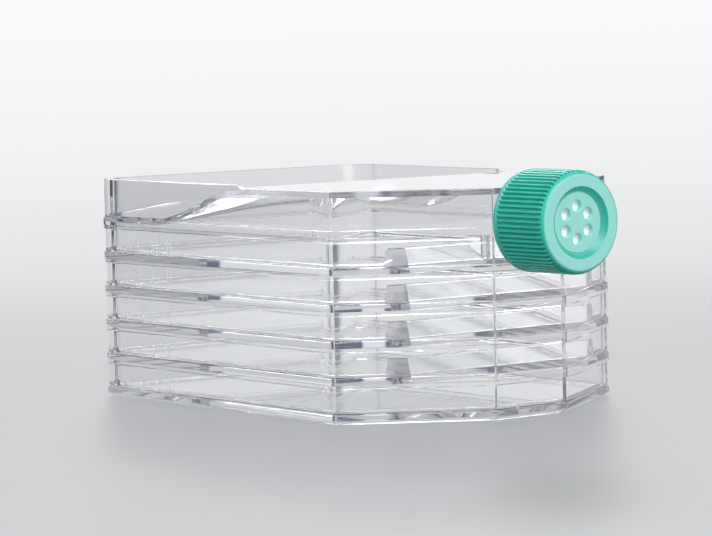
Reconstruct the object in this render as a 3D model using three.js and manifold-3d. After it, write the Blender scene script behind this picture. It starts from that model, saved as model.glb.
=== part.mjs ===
// Five-layer cell culture flask with a vented screw cap.
// Millimetres, +Z up. +X runs along the flask towards the cap, -Y is one long side.
// The origin is under the middle of the bounding box, on the surface the flask stands on.
import * as THREE from 'three';
import Module from 'manifold-3d';
import { mergeVertices } from 'three/addons/utils/BufferGeometryUtils.js';

const wasm = await Module();
wasm.setup();

// ---- driving dimensions -------------------------------------------------------------
const BODY_L = 176;          // rear lip to front face of the stack
const BODY_W = 127;          // across the lips
const SHOULDER_L = 30.8;     // length of the tapered neck end, along X
const FRONT_W = 31.8;        // width of the narrow front face
const R_REAR = 10;           // plan radius of the rear corners
const R_SHOULDER = 2.5;        // plan radius where the shoulders start
const R_FRONT = 2.6;         // plan radius of the front corners
const R_REAR_IN = 12;        // the same corners on the inner face, where the wall thickens
const R_SHOULDER_IN = 8;
const R_FRONT_IN = 0.8;

const FOOT_H = 1.0;          // stacking foot under the base
const FOOT_W = 1.4;
const FOOT_IN_FRONT = 1.2;   // inset of the foot ahead of the rim step
const FOOT_IN_REAR = 3.1;    // inset of the foot that nests inside the raised rim
const BASE_T = 2.3;          // base flange and floor
const BASE_WALL = 11.1;      // flange underside to the first seam
const PITCH = 12.6;          // layer to layer
const LEVELS = 4;            // trays between base and lid
const LIP = 0.6;             // how far every lip stands proud of the wall
const WALL_T = 1.8;
const TONGUE_H = 1.4;        // lap joint: tongue of the lower piece
const TONGUE_T = 1.0;
const LAP_GAP = 0.3;         // skirt to tongue
const FLOOR_T = 2.2;
const LIP_H = 4.0;           // lip band of a tray

const WEIR_BASE_FRONT = 17.9;  // weir section, distances behind the front face
const WEIR_TOP_FRONT = 18.7;
const WEIR_TOP_REAR = 22.3;
const WEIR_BASE_REAR = 23.0;
const WEIR_H = 10.4;           // top of the weir above the tray's seam
const MARK_AT = 0.422;         // witness line on the shoulders, fraction from rear to front
const TAB_AT = 0.334;          // moulded pad on the lid lip

const LID_LIP_H = 4.2;
const SHEET_T = 2.3;         // lid sheet thickness, vertical
const PLATE_UP = 4.85;       // top of the rear plate above the lid seam
const RIM_UP = 18.5;         // top of the raised rear rim above the lid seam
const RIM_STEP = 1.0;        // rim above the flat neck-end roof, equal to FOOT_H
const RIM_END_NEAR = 83.4;   // rim ends this far behind the front face on the -Y side
const RIM_END_FAR = 90.0;    // and on the +Y side
const RAMP_REAR = 136.4;     // ramp foot and head, distances behind the front face
const RAMP_FRONT = 82.2;
const CROWN = 4.4;           // rise of the rear plate along the centre line
const CROWN_HALF = 59.5;

const NECK_UP = 5.7;         // neck axis above the lid seam
const NECK_R = 11.6;
const NECK_BORE = 9.2;
const NECK_LEN = 20.2;       // from the front face
const PLATE_DROP = 7.3;      // front neck plate hangs below the lid seam
const PLATE_WRAP = 2.8;      // and wraps back round the front corners, along X
const SIDE_GAP = 0.3;

const THREAD_PITCH = 4;
const THREAD_CREST = 13.2;
const THREAD_ROOT_W = 1.6;
const THREAD_CREST_W = 0.9;
const NECK_THREAD_AT = 5.0;  // first thread centre ahead of the front face
const NECK_TURNS = 1.75;
const CAP_TURNS = 1.25;
const CAP_THREAD_CREST = 12.2;

const CAP_REAR = 1.3;        // cap skirt starts this far ahead of the front face
const CAP_SKIRT_R = 17.95;
const CAP_RIB_R = 17.9;
const CAP_CORE_R = 17.05;
const CAP_SKIRT_L = 1.6;
const RIB_COUNT = 64;
const CAP_FACE_R = 16.9;
const CAP_RING_L = 1.5;      // plain ring between the rib ends and the cap's face
const CAP_BORE = 13.9;
const DISC_T = 1.5;          // recessed vent disc
const DISC_R = 10.4;
const RECESS_DEPTH = 2.3;
const RECESS_R = 12.4;
const VENT_R = 2.0;
const VENT_CIRCLE = 5.7;
const VENTS = 6;
const BEAD_R = 12.6;         // snap bead that keeps the seal ring in the cap
const RING_R = 13.3;
const RING_BORE = 8.6;
const RING_T = 1.7;
const MEMBRANE_R = 11;
const MEMBRANE_T = 0.5;
const FIT_GAP = 0.3;

// ---- places that follow from them -----------------------------------------------------
const DISC_REAR = NECK_LEN + FIT_GAP + RING_T + MEMBRANE_T + FIT_GAP;
const DISC_FACE = DISC_REAR + DISC_T;
const CAP_OUT = DISC_FACE + RECESS_DEPTH;   // cap face ahead of the front face
const RIB_END = CAP_OUT - CAP_RING_L;
const XF = (BODY_L - CAP_OUT) / 2;          // front face
const XR = XF - BODY_L;                     // rear lip
const XS = XF - SHOULDER_L;                 // shoulder corner
const HW = BODY_W / 2;
const Z_FLANGE = FOOT_H;
const seam = (k) => FOOT_H + BASE_WALL + PITCH * (k - 1);   // underside of tray k
const Z_LID = seam(LEVELS + 1);
const Z_RIM = Z_LID + RIM_UP;
const Z_ROOF = Z_RIM - RIM_STEP;
const Z_NECK = Z_LID + NECK_UP;
const WALL_IN = LIP + WALL_T;               // inset of the inner wall face
const TONGUE_OUT = WALL_IN - TONGUE_T;
const SKIRT_IN = TONGUE_OUT - LAP_GAP;
const rimEnd = (side) => (side < 0 ? RIM_END_NEAR : RIM_END_FAR);

// ---- solids ------------------------------------------------------------------------
function solid(geometry) {
  let g = geometry.clone();
  g.deleteAttribute('normal');
  g.deleteAttribute('uv');
  g = mergeVertices(g, 1e-4);
  const p = g.attributes.position.array;
  const idx = g.index.array;
  const tri = [];
  let vol = 0;
  for (let i = 0; i < idx.length; i += 3) {
    const [a, b, c] = [idx[i], idx[i + 1], idx[i + 2]];
    if (a === b || b === c || a === c) continue;
    tri.push(a, b, c);
    const A = new THREE.Vector3().fromArray(p, a * 3);
    const B = new THREE.Vector3().fromArray(p, b * 3);
    const C = new THREE.Vector3().fromArray(p, c * 3);
    vol += A.dot(B.cross(C)) / 6;
  }
  if (vol < 0) for (let i = 0; i < tri.length; i += 3) [tri[i], tri[i + 1]] = [tri[i + 1], tri[i]];
  return new wasm.Manifold(new wasm.Mesh({
    numProp: 3, vertProperties: new Float32Array(p), triVerts: new Uint32Array(tri),
  }));
}

const join = (parts) => parts.reduce((a, b) => a.add(b));
const cut = (body, parts) => parts.reduce((a, b) => a.subtract(b), body);

function geometryOf(man) {
  const m = man.getMesh();
  const g = new THREE.BufferGeometry();
  g.setAttribute('position', new THREE.BufferAttribute(new Float32Array(m.vertProperties), 3));
  g.setIndex(new THREE.BufferAttribute(new Uint32Array(m.triVerts), 1));
  g.computeVertexNormals();
  return g;
}

function box(x0, x1, y0, y1, z0, z1) {
  const g = new THREE.BoxGeometry(x1 - x0, y1 - y0, z1 - z0);
  g.translate((x0 + x1) / 2, (y0 + y1) / 2, (z0 + z1) / 2);
  return solid(g);
}

function prism(points, z0, z1) {
  const g = new THREE.ExtrudeGeometry(new THREE.Shape(points), { depth: z1 - z0, bevelEnabled: false });
  g.translate(0, 0, z0);
  return solid(g);
}

// Turned solid about the neck axis: pairs of (distance ahead of the front face, radius).
function turned(profile, segments = 64) {
  const g = new THREE.LatheGeometry(profile.map(([x, r]) => new THREE.Vector2(r, x)), segments);
  g.rotateZ(-Math.PI / 2);
  g.translate(XF, 0, Z_NECK);
  return solid(g);
}

// ---- plan outline ---------------------------------------------------------------------
const CORNERS = [
  [XR, -HW, R_REAR, R_REAR_IN, 6], [XS, -HW, R_SHOULDER, R_SHOULDER_IN, 6],
  [XF, -FRONT_W / 2, R_FRONT, R_FRONT_IN, 3], [XF, FRONT_W / 2, R_FRONT, R_FRONT_IN, 3],
  [XS, HW, R_SHOULDER, R_SHOULDER_IN, 6], [XR, HW, R_REAR, R_REAR_IN, 6],
];

function insetCorners(d) {
  const n = CORNERS.length;
  return CORNERS.map(([x, y, rOut, rIn, seg], i) => {
    const [px, py] = CORNERS[(i + n - 1) % n];
    const [nx, ny] = CORNERS[(i + 1) % n];
    const a = new THREE.Vector2(x - px, y - py).normalize();
    const b = new THREE.Vector2(nx - x, ny - y).normalize();
    const na = new THREE.Vector2(-a.y, a.x);
    const nb = new THREE.Vector2(-b.y, b.x);
    const k = d / (1 + na.dot(nb));
    const r = Math.max(d < WALL_IN ? rOut - d : rIn - (d - WALL_IN), 0.8);
    return { x: x + (na.x + nb.x) * k, y: y + (na.y + nb.y) * k, r, seg, a, b };
  });
}

function outline(d) {
  const pts = [];
  for (const c of insetCorners(d)) {
    const turn = Math.acos(THREE.MathUtils.clamp(c.a.dot(c.b), -1, 1));
    const t = c.r * Math.tan(turn / 2);
    const cx = c.x - c.a.x * t - c.a.y * c.r;
    const cy = c.y - c.a.y * t + c.a.x * c.r;
    const start = Math.atan2(-c.a.x, c.a.y);
    for (let i = 0; i <= c.seg; i++) {
      const w = start + (turn * i) / c.seg;
      pts.push(new THREE.Vector2(cx + c.r * Math.cos(w), cy + c.r * Math.sin(w)));
    }
  }
  return pts;
}

const slab = (inset, z0, z1) => prism(outline(inset), z0, z1);
const ring = (outer, inner, z0, z1) => slab(outer, z0, z1).subtract(slab(inner, z0 - 1, z1 + 1));

// Thin pad lying on a shoulder face: t from its rear end, side -1 or +1.
function shoulderPad(side, t, width, proud, faceInset, z0, z1) {
  const from = new THREE.Vector2(XS, side * HW);
  const to = new THREE.Vector2(XF, (side * FRONT_W) / 2);
  const dir = to.clone().sub(from).normalize();
  const at = from.lerp(to, t);
  const out = new THREE.Vector2(-dir.y * side, dir.x * side);
  const g = new THREE.BoxGeometry(width, proud + 0.6, z1 - z0);
  g.rotateZ(Math.atan2(dir.y, dir.x));
  const off = proud - (proud + 0.6) / 2 - faceInset;
  g.translate(at.x + out.x * off, at.y + out.y * off, (z0 + z1) / 2);
  return solid(g);
}

// ---- base and trays -------------------------------------------------------------------
function wallAndTongue(z0, zSeam) {
  return join([ring(LIP, WALL_IN, z0, zSeam), ring(TONGUE_OUT, WALL_IN, zSeam - 0.4, zSeam + TONGUE_H)]);
}

function foot() {
  return join([-1, 1].flatMap((s) => {
    const jog = XF - rimEnd(s) + 0.6;
    const half = (inset, x0, x1) => ring(inset, inset + FOOT_W, 0, FOOT_H + 0.4)
      .intersect(box(x0, x1, Math.min(0, s * HW), Math.max(0, s * HW), -1, FOOT_H + 1));
    const ys = [s * (HW - FOOT_IN_FRONT - 0.1), s * (HW - FOOT_IN_REAR - FOOT_W + 0.1)].sort((a, b) => a - b);
    return [half(FOOT_IN_FRONT, jog, XF + 1), half(FOOT_IN_REAR, XR - 1, jog + FOOT_W),
      box(jog, jog + FOOT_W, ys[0], ys[1], 0, FOOT_H + 0.4)];
  }));
}

function baseTray() {
  return join([
    slab(0, Z_FLANGE, Z_FLANGE + BASE_T),
    foot(),
    wallAndTongue(Z_FLANGE + BASE_T - 0.4, seam(1)),
  ]);
}

function weir() {
  const s = new THREE.Shape([
    new THREE.Vector2(XF - WEIR_BASE_REAR, TONGUE_H + 0.3),
    new THREE.Vector2(XF - WEIR_BASE_FRONT, TONGUE_H),
    new THREE.Vector2(XF - WEIR_TOP_FRONT, WEIR_H),
    new THREE.Vector2(XF - WEIR_TOP_REAR, WEIR_H),
  ]);
  const g = new THREE.ExtrudeGeometry(s, { depth: BODY_W, bevelEnabled: false });
  g.rotateX(Math.PI / 2);
  g.translate(0, HW, 0);
  return solid(g).intersect(slab(LIP + WALL_T / 2, 0, PITCH));
}

// A tray, with its seam at z = 0.
function tray() {
  const floor = slab(LIP + 0.3, TONGUE_H, TONGUE_H + FLOOR_T)
    .intersect(box(XR, XF - WEIR_BASE_FRONT, -HW, HW, 0, PITCH));
  return join([
    ring(0, SKIRT_IN, 0, TONGUE_H + 0.4),
    ring(0, WALL_IN, TONGUE_H, LIP_H),
    wallAndTongue(LIP_H - 0.4, PITCH),
    floor,
    weir(),
    shoulderPad(-1, MARK_AT, 0.6, 0.25, LIP, LIP_H - 0.2, PITCH),
    shoulderPad(1, MARK_AT, 0.6, 0.25, LIP, LIP_H - 0.2, PITCH),
  ]);
}

// The top tray makes room for the lid's neck plate.
function topTray() {
  const zCut = Z_LID - PLATE_DROP - seam(LEVELS);
  return cut(tray(), [box(XF - PLATE_WRAP - SIDE_GAP, XF + 2, -HW, HW, zCut, PITCH + 5)]);
}

// ---- lid --------------------------------------------------------------------------------
const smooth = (t) => t * t * (3 - 2 * t);

// Height of the lid's upper surface at x, y.
function roof(x, y) {
  const s = smooth(THREE.MathUtils.clamp((x - (XF - RAMP_REAR)) / (RAMP_REAR - RAMP_FRONT), 0, 1));
  const c = Math.pow(Math.max(0, 1 - (y / CROWN_HALF) ** 2), 1.4);
  const low = Z_LID + PLATE_UP + CROWN * c;
  return low + (Z_ROOF - low) * s;
}

// Solid between the roof surface moved by dz and a flat level, over the rear part or the whole.
function roofSolid(x0, x1, dz, flat, nx, ny) {
  const g = new THREE.BoxGeometry(x1 - x0, BODY_W + 4, 2, nx, ny, 1);
  g.translate((x0 + x1) / 2, 0, 0);
  const p = g.attributes.position;
  const surfaceSide = flat > Z_RIM ? -1 : 1;
  for (let i = 0; i < p.count; i++) {
    const onSurface = Math.sign(p.getZ(i)) === surfaceSide;
    p.setZ(i, onSurface ? roof(p.getX(i), p.getY(i)) + dz : flat);
  }
  return solid(g);
}

function lid() {
  const zLap = Z_LID + TONGUE_H;
  const frontCut = box(XF - PLATE_WRAP, XF + 2, -HW, HW, Z_LID - 20, Z_LID + LID_LIP_H + 1);
  const lip = join([
    ring(0, SKIRT_IN, Z_LID, zLap + 0.4),
    ring(0, WALL_IN, zLap, Z_LID + LID_LIP_H),
    shoulderPad(-1, TAB_AT, 4, 0.3, 0, Z_LID + 1.4, Z_LID + 3.4),
    shoulderPad(1, TAB_AT, 4, 0.3, 0, Z_LID + 1.4, Z_LID + 3.4),
  ]).subtract(frontCut);
  const block = slab(LIP, zLap, Z_RIM);
  const inner = slab(WALL_IN, Z_LID - 20, Z_RIM + 20);
  const front = XF - Math.min(RIM_END_NEAR, RIM_END_FAR);
  const above = roofSolid(XR - 2, front + 0.01, 0, Z_RIM + 10, 20, 12).intersect(inner);
  const below = roofSolid(XR - 2, XF + 2, -SHEET_T, Z_LID - 10, 34, 12).intersect(inner);
  const overRoof = box(XF - RIM_END_NEAR, XF + 2, -HW - 1, 0, Z_ROOF, Z_RIM + 5)
    .add(box(XF - RIM_END_FAR, XF + 2, 0, HW + 1, Z_ROOF, Z_RIM + 5));
  const plate = ring(LIP, WALL_IN, Z_LID - PLATE_DROP, zLap + 0.4)
    .intersect(box(XF - PLATE_WRAP, XF + 2, -HW, HW, Z_LID - 20, zLap + 1));
  const bore = turned([[-6, 0], [-6, NECK_BORE], [2, NECK_BORE], [2, 0]]);
  return cut(join([cut(block, [above, below, overRoof]), lip, plate]), [bore]);
}

// ---- neck, cap and vent -----------------------------------------------------------------
// Helical ridge about the neck axis: a long box bent round the axis.
function thread(rRoot, rCrest, at, turns, startAngle, sink) {
  const steps = Math.round(turns * 28);
  const g = new THREE.BoxGeometry(1, 1, 1, steps, 1, 1);
  const p = g.attributes.position;
  const inward = rCrest < rRoot;
  for (let i = 0; i < p.count; i++) {
    const u = p.getX(i) + 0.5;
    const v = p.getY(i) + 0.5;
    const fade = Math.min(1, 0.15 + (Math.min(u, 1 - u) * turns) / 0.08);
    const base = inward ? rRoot + sink : rRoot - sink;
    const r = v < 0.5 ? base : rRoot + (rCrest - rRoot) * fade;
    const w = (v < 0.5 ? THREAD_ROOT_W : THREAD_CREST_W) * p.getZ(i) * (inward ? 1 : -1);
    const a = startAngle + 2 * Math.PI * turns * u;
    p.setXYZ(i, XF + at + THREAD_PITCH * turns * u + w, r * Math.cos(a), Z_NECK + r * Math.sin(a));
  }
  return solid(g);
}

function neck() {
  const x0 = -LIP;
  const tube = turned([
    [x0, NECK_BORE], [x0, NECK_R], [NECK_LEN - 0.7, NECK_R], [NECK_LEN, NECK_R - 0.7],
    [NECK_LEN, NECK_BORE], [x0, NECK_BORE],
  ]);
  return tube.add(thread(NECK_R, THREAD_CREST, NECK_THREAD_AT, NECK_TURNS, 0, 0.5));
}

function ribbedSleeve() {
  const pts = [];
  for (let i = 0; i < RIB_COUNT; i++) {
    const a = (i / RIB_COUNT) * Math.PI * 2;
    const d = Math.PI / RIB_COUNT;
    for (const [da, r] of [[-0.45, CAP_RIB_R], [0.45, CAP_RIB_R], [1, CAP_CORE_R]]) {
      pts.push(new THREE.Vector2(r * Math.cos(a + da * d), r * Math.sin(a + da * d)));
    }
  }
  const length = RIB_END - CAP_REAR - CAP_SKIRT_L + 0.4;
  const g = new THREE.ExtrudeGeometry(new THREE.Shape(pts), { depth: length, bevelEnabled: false });
  g.rotateY(Math.PI / 2);
  g.translate(XF + CAP_REAR + CAP_SKIRT_L - 0.2, 0, Z_NECK);
  return solid(g);
}

function cap() {
  const rear = CAP_REAR;
  const blank = turned([
    [rear, 0], [rear, CAP_SKIRT_R - 0.4], [rear + 0.4, CAP_SKIRT_R], [rear + CAP_SKIRT_L, CAP_SKIRT_R],
    [rear + CAP_SKIRT_L, CAP_CORE_R - 0.1], [RIB_END, CAP_CORE_R - 0.1], [RIB_END, CAP_FACE_R + 0.5],
    [CAP_OUT - 0.6, CAP_FACE_R], [CAP_OUT, CAP_FACE_R - 0.6], [CAP_OUT, 0],
  ], 72);
  const hollow = turned([[rear - 1, 0], [rear - 1, CAP_BORE], [DISC_REAR, CAP_BORE], [DISC_REAR, 0]]);
  const recess = turned([[DISC_FACE, 0], [DISC_FACE, DISC_R], [CAP_OUT, RECESS_R],
    [CAP_OUT + 1, RECESS_R + 0.9], [CAP_OUT + 1, 0]]);
  const vents = Array.from({ length: VENTS }, (_, i) => {
    const a = Math.PI / 2 + (i * 2 * Math.PI) / VENTS;
    const g = new THREE.CylinderGeometry(VENT_R, VENT_R, 6, 20);
    g.rotateZ(-Math.PI / 2);
    g.translate(XF + DISC_FACE, VENT_CIRCLE * Math.cos(a), Z_NECK + VENT_CIRCLE * Math.sin(a));
    return solid(g);
  });
  const beadFront = NECK_LEN;
  const bead = turned([
    [beadFront - 0.9, CAP_BORE + 0.4], [beadFront, CAP_BORE + 0.4], [beadFront, BEAD_R],
    [beadFront - 0.3, BEAD_R], [beadFront - 0.9, CAP_BORE + 0.4],
  ]);
  const start = Math.PI / 2;
  const at = NECK_THREAD_AT - THREAD_PITCH / 2 + (THREAD_PITCH * start) / (2 * Math.PI);
  const inner = thread(CAP_BORE, CAP_THREAD_CREST, at, CAP_TURNS, start, 0.4);
  return join([cut(blank.add(ribbedSleeve()), [hollow, recess, ...vents]), bead, inner]);
}

function sealRing() {
  const x0 = NECK_LEN + FIT_GAP;
  return turned([[x0, RING_BORE], [x0, RING_R], [x0 + RING_T, RING_R], [x0 + RING_T, RING_BORE],
    [x0, RING_BORE]], 48);
}

function membrane() {
  const x0 = NECK_LEN + FIT_GAP + RING_T;
  return turned([[x0, 0], [x0, MEMBRANE_R], [x0 + MEMBRANE_T, MEMBRANE_R], [x0 + MEMBRANE_T, 0]], 48);
}

// ---- scene graph --------------------------------------------------------------------------
const clear = () => new THREE.MeshStandardMaterial({
  color: 0xdfe3e8, roughness: 0.08, metalness: 0, transparent: true, opacity: 0.35,
});
const group = new THREE.Group();

function place(name, geometry, material, z = 0) {
  const mesh = new THREE.Mesh(geometry, material);
  mesh.name = name;
  mesh.position.z = z;
  group.add(mesh);
}

place('base_tray', geometryOf(baseTray()), clear());
const trayGeometry = geometryOf(tray());
for (let k = 1; k < LEVELS; k++) place(`tray_${k}`, trayGeometry.clone(), clear(), seam(k));
place(`tray_${LEVELS}`, geometryOf(topTray()), clear(), seam(LEVELS));
place('lid', geometryOf(lid()), clear());
place('neck', geometryOf(neck()), clear());
place('seal_ring', geometryOf(sealRing()),
  new THREE.MeshStandardMaterial({ color: 0xe9ecec, roughness: 0.5, metalness: 0 }));
place('vent_membrane', geometryOf(membrane()),
  new THREE.MeshStandardMaterial({ color: 0xf5f5f3, roughness: 0.7, metalness: 0 }));
place('cap', geometryOf(cap()),
  new THREE.MeshStandardMaterial({ color: 0x45b79f, roughness: 0.4, metalness: 0 }));

export default group;
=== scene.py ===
import math
import bpy
import bmesh
from mathutils import Matrix, Vector


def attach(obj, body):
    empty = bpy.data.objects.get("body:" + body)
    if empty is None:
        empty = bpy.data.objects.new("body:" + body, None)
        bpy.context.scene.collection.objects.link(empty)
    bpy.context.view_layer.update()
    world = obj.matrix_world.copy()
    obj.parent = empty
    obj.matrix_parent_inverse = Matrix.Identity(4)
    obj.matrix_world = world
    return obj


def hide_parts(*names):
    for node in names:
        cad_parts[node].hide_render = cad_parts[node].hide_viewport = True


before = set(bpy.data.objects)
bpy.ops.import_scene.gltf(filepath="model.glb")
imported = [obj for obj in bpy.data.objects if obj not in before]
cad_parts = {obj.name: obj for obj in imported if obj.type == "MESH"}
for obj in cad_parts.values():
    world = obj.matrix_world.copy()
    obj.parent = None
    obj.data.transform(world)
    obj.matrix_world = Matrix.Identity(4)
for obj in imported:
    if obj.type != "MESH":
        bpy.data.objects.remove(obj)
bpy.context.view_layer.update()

# ---------------------------------------------------------------- sizes, in millimetres
# plan outline: a rectangle with a blunt nose, and the corner radii outside and inside the walls
BODY_L, BODY_W = 176.0, 127.0
SHOULDER_L, FRONT_W = 30.8, 31.8
R_REAR, R_SHOULDER, R_FRONT = 10.0, 2.5, 2.6
R_REAR_IN, R_SHOULDER_IN, R_FRONT_IN = 12.0, 13.0, 0.8
# base and trays
FOOT_H, FOOT_W, FOOT_IN_FRONT, FOOT_IN_REAR = 1.0, 1.4, 1.2, 3.1
FOOT_BREAK, FOOT_JOG = 0.3, 0.6              # the jog is this far ahead of the rim's end
BASE_T, BASE_WALL, PITCH, LEVELS = 2.3, 11.1, 12.6, 4
LIP, WALL_T, TONGUE_H, TONGUE_T, LAP_GAP = 0.6, 1.8, 1.4, 1.0, 0.3
FLOOR_T, FLOOR_EDGE, LIP_H, FILLET = 2.2, 0.8, 4.0, 2.0
WEIR_H, WEIR_ROUND = 10.4, 0.6
WEIR_BASE_FRONT, WEIR_TOP_FRONT, WEIR_TOP_REAR, WEIR_BASE_REAR = 17.9, 18.7, 22.3, 23.0
MARK_AT, MARK_W, MARK_PROUD = 0.422, 0.5, 0.22               # share of the slanted front face, size
TAB_AT, TAB_W, TAB_PROUD, TAB_UP = 0.334, 4, 0.3, (1.4, 3.4)
TICK_W, TICK_PROUD = 0.28, 0.16
TICKS = (20.1, 29.0, 38.1, 46.9)             # ahead of the rear end
# lid
LID_LIP_H, SHEET_T, PLATE_UP, RIM_UP, RIM_STEP = 4.2, 2.3, 4.85, 18.5, 1.0
RIM_END = {-1: 83.4, 1: 90.0}                # behind the front face, near side and far side
RIM_SLOPE = 1.2
LID_SHOULDER_IN = 24.0
RAMP_REAR, RAMP_FRONT, CROWN, CROWN_HALF = 136.4, 82.2, 4.4, 59.5
PLATE_DROP, PLATE_WRAP, SIDE_GAP = 7.3, 2.8, 0.3
# neck and thread
NECK_UP, NECK_R, NECK_BORE, NECK_LEN, NECK_ROUND = 5.7, 11.6, 9.2, 20.2, 0.7
THREAD_PITCH, THREAD_CREST, THREAD_ROOT_W, THREAD_CREST_W = 4.0, 13.2, 1.6, 0.9
THREAD_SHOULDER, THREAD_RUN_OUT = 0.72, 0.09                 # share of its height, share of a turn
NECK_THREAD_AT, NECK_TURNS, CAP_TURNS, CAP_THREAD_CREST = 5.0, 1.75, 1.25, 12.2
# cap, ring and membrane
CAP_OUT, CAP_REAR, CAP_SKIRT_R, CAP_RIB_R, CAP_CORE_R = 26.8, 1.3, 17.95, 17.9, 17.05
RIBS, RIB_STEPS, CAP_BORE, CAP_BREAK = 64, 12, 13.9, 0.4
CAP_SINK = 0.3                               # how far the disc, bead and thread run into the sleeve
DISC_REAR, DISC_FACE, DISC_R = 23.0, 24.82, 8.9
VENT_R, VENT_CIRCLE, VENTS = 2.0, 5.7, 6
BEAD_R, BEAD_T = 12.6, 0.9
RING_R, RING_BORE, RING_T, RING_BREAK = 13.3, 8.6, 1.7, 0.3
MEMBRANE_R, MEMBRANE_T, MEMBRANE_BREAK = 11.0, 0.5, 0.1
FIT = 0.3                                    # between the neck's mouth and the ring
# small roundings and broken edges, and what is there only to build with
LIP_ROUND, WALL_ROUND, SKIRT_BREAK, TIP_BREAK, BREAK = 0.35, 0.3, 0.25, 0.15, 0.12
G = 0.03                                     # hairline kept between two clear mouldings
BITE, OVER, SINK = 0.5, 1.0, 20.0            # how far joined solids overlap and cutting blocks run past
MM = 0.001
SIDES = (-1, 1)                              # near side and far side, by the sign of y
SOFT_EDGE = math.cos(math.radians(32))       # sharper edges than this stay sharp in the shading
FLAT = math.cos(math.radians(0.3))           # faces that turn less than this are one flat

XF = (BODY_L - CAP_OUT) / 2
XR = XF - BODY_L
XS = XF - SHOULDER_L
HW = BODY_W / 2
WALL_IN = LIP + WALL_T
TONGUE_OUT = WALL_IN - TONGUE_T
SKIRT_IN = TONGUE_OUT - LAP_GAP
SPLIT = (TONGUE_OUT + WALL_IN) / 2           # insets beyond this follow the inner corners


def seam(k):
    """Height of the joint under tray k, and under the lid for the last k."""
    return FOOT_H + BASE_WALL + PITCH * (k - 1)


Z_LID = seam(LEVELS + 1)
Z_RIM = Z_LID + RIM_UP
Z_ROOF = Z_RIM - RIM_STEP
Z_NECK = Z_LID + NECK_UP


def link(name, data):
    """New object with this data, in the scene."""
    ob = bpy.data.objects.new(name, data)
    bpy.context.scene.collection.objects.link(ob)
    return ob


# ---------------------------------------------------------------- camera
VIEW_HEADING, VIEW_PITCH, VIEW_ROLL = 37.802, 4.268, 1.25    # from -X towards +Y, down, roll
VIEW_FROM, LENS = (1.0038, -0.7971, 0.1441), 179.5


def camera():
    cam = link("camera", bpy.data.cameras.new("camera"))
    cam.data.sensor_width = 36.0
    cam.data.lens = LENS
    cam.data.clip_start, cam.data.clip_end = 0.05, 60
    cam.location = VIEW_FROM
    heading, pitch, roll = (math.radians(a) for a in (VIEW_HEADING, VIEW_PITCH, VIEW_ROLL))
    ahead = Vector((-math.cos(heading) * math.cos(pitch), math.sin(heading) * math.cos(pitch),
                    -math.sin(pitch)))
    level = Vector((math.sin(heading), math.cos(heading), 0.0))
    up = level.cross(ahead)
    right = level * math.cos(roll) - up * math.sin(roll)
    above = up * math.cos(roll) + level * math.sin(roll)
    cam.rotation_mode = "QUATERNION"
    cam.rotation_quaternion = Matrix((right, above, -ahead)).transposed().to_quaternion()
    return cam


bpy.context.scene.camera = camera()

# ---------------------------------------------------------------- mesh tools


def make(name, verts, faces):
    """Mesh object from points in millimetres, closed and with its faces turned outwards."""
    me = bpy.data.meshes.new(name)
    me.from_pydata([(x * MM, y * MM, z * MM) for x, y, z in verts], [], faces)
    bm = bmesh.new()
    bm.from_mesh(me)
    bmesh.ops.remove_doubles(bm, verts=bm.verts, dist=1e-8)
    bmesh.ops.recalc_face_normals(bm, faces=bm.faces)
    bm.to_mesh(me)
    bm.free()
    return link(name, me)


def boolean(base, tools, operation):
    """Join, cut or intersect base with each tool, and delete the tools."""
    for t in tools:
        m = base.modifiers.new("join_or_cut", "BOOLEAN")
        m.operation = operation
        m.solver = "MANIFOLD"
        m.object = t
    dg = bpy.context.evaluated_depsgraph_get()
    me = bpy.data.meshes.new_from_object(base.evaluated_get(dg))
    base.modifiers.clear()
    old = base.data
    base.data = me
    bpy.data.meshes.remove(old)
    for t in tools:
        bpy.data.objects.remove(t)
    return base


def flat_regions(me):
    """Area of the flat region each face belongs to, and the angle cosine across every shared edge."""
    root = list(range(len(me.polygons)))

    def find(i):
        while root[i] != i:
            root[i] = root[root[i]]
            i = root[i]
        return i

    normals = [p.normal.copy() for p in me.polygons]
    sharing, cosine = {}, {}
    for p in me.polygons:
        for k in p.edge_keys:
            sharing.setdefault(k, []).append(p.index)
    for k, pair in sharing.items():
        if len(pair) == 2:
            cosine[k] = normals[pair[0]].dot(normals[pair[1]])
            if cosine[k] > FLAT:
                root[find(pair[0])] = find(pair[1])
    total = {}
    for p in me.polygons:
        total[find(p.index)] = total.get(find(p.index), 0.0) + p.area
    return normals, [total[find(i)] for i in range(len(root))], cosine


def smooth(ob):
    """Smooth shading in which every flat keeps its own normal right up to the rounding beside it."""
    me = ob.data
    me.shade_smooth()
    normals, area, cosine = flat_regions(me)
    at = [[] for _ in me.vertices]
    for p in me.polygons:
        vs, n = p.vertices, len(p.vertices)
        for i, loop in enumerate(p.loop_indices):
            before, after = sorted((vs[i - 1], vs[i])), sorted((vs[i], vs[(i + 1) % n]))
            at[vs[i]].append((loop, p.index, tuple(before), tuple(after)))
    out = [None] * len(me.loops)
    for todo in at:
        while todo:
            fan = [todo.pop()]
            for c in fan:
                joined = [d for d in todo
                          if any(e in c[2:] and cosine.get(e, -1) > SOFT_EDGE for e in d[2:])]
                for d in joined:
                    todo.remove(d)
                fan += joined
            n = Vector()
            for c in fan:
                n += normals[c[1]] * (area[c[1]] * 1e6) ** 2
            for c in fan:
                out[c[0]] = n.normalized()
    me.normals_split_custom_set(out)


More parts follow.
